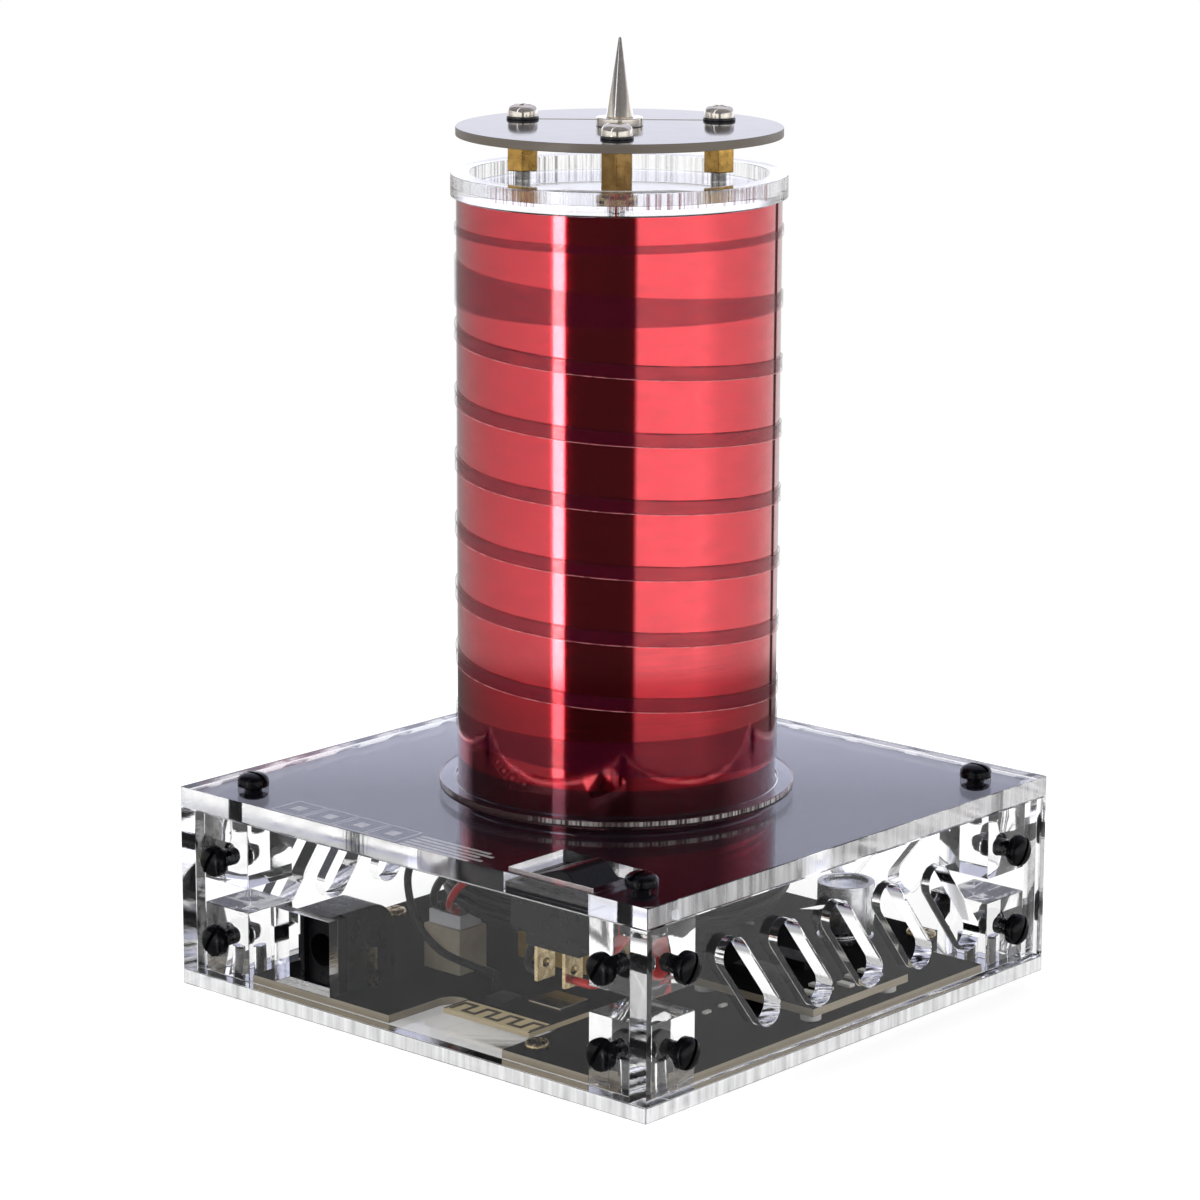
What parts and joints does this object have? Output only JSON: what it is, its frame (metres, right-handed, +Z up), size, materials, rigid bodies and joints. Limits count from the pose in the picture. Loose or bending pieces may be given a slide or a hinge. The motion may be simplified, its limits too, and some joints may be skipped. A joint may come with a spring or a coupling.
{
  "type": "desktop resonant transformer",
  "caption": "Clear square case with circuit boards, rocker switch and power inlet, under a tall single-layer red coil that carries a flat top electrode and a spike.",
  "frame": {"origin": "centre of the case's underside, on the surface it stands on", "axes": "+Z up along the coil, -Y towards the side with the power inlet and the switch, +X towards the vented side on the right"},
  "size_m": [0.1252, 0.1252, 0.1847],
  "materials": {
    "clear_acrylic": "clear, polished, bright at the cut edges",
    "mask_black": "mirror-smooth black seen through the clear plate",
    "nylon_black": "satin",
    "switch_black": "fine satin",
    "tube_plastic": "smooth",
    "enamelled_wire": "red enamel over copper, fine horizontal grain",
    "clear_tape": "glossy film",
    "tape_lap": "glossy film, darker where it laps",
    "brass": "machined",
    "steel": "bright plated",
    "washer_dark": "dark plated",
    "board_black": "solder mask, satin",
    "contact_metal": "plated",
    "copper": "bare",
    "header_beige": "moulded",
    "plug_grey": "moulded",
    "lead_red": "smooth insulation",
    "lead_black": "smooth insulation",
    "can_silver": "satin",
    "film_yellow": "dipped",
    "sink_black": "black anodised",
    "chip_black": "moulded",
    "pale_ceramic": "fired",
    "former_black": "smooth",
    "spacer_white": "nylon"
  },
  "bodies": {
    "case": {"bottom_plate": "clear_acrylic", "front_wall": "clear_acrylic", "back_wall": "clear_acrylic", "left_wall": "clear_acrylic", "right_wall": "clear_acrylic", "top_plate": "clear_acrylic", "top_mask": "mask_black", "lower_blocks": "clear_acrylic", "upper_blocks": "clear_acrylic", "wall_screws": "nylon_black", "lid_screws": "nylon_black", "floor_screws": "nylon_black", "coil_tube": "tube_plastic", "secondary_winding": "enamelled_wire", "winding_tape": "clear_tape", "tape_overlap": "tape_lap", "base_ring": "clear_acrylic", "end_disc": "clear_acrylic", "disc_screws": "steel", "tall_standoff": "brass", "short_standoffs": "brass", "top_disc": "board_black", "top_washers": "washer_dark", "top_screws": "steel", "spike_collar": "steel", "discharge_spike": "steel", "spike_nut": "steel", "lead_lug": "contact_metal", "top_lead": "copper", "low_lead": "copper", "switch_housing": "switch_black", "switch_terminals": "contact_metal", "power_inlet": "switch_black", "inlet_pin": "contact_metal", "inlet_contacts": "contact_metal", "main_board": "board_black", "board_screws": "contact_metal", "radio_board": "board_black", "radio_antenna": "copper", "radio_chip": "chip_black", "radio_shield": "steel", "driver_board": "board_black", "board_spacers": "spacer_white", "driver_chips": "chip_black", "driver_resistors": "pale_ceramic", "main_capacitor": "can_silver", "film_capacitor": "film_yellow", "heat_sink": "sink_black", "power_transistors": "chip_black", "transistor_screws": "steel", "supply_header": "header_beige", "supply_plug": "plug_grey", "supply_lead_red": "lead_red", "supply_lead_black": "lead_black", "primary_former": "former_black", "primary_winding": "lead_black"},
    "rocker": {"switch_rocker": "switch_black"}
  },
  "joints": [
    {"name": "rocker_tilt", "type": "hinge", "parent": "case", "child": "rocker", "pos_m": [0.0344, -0.0496, 0.0336], "axis": [0, 1, 0], "range_deg": [-22, 0]}
  ]
}
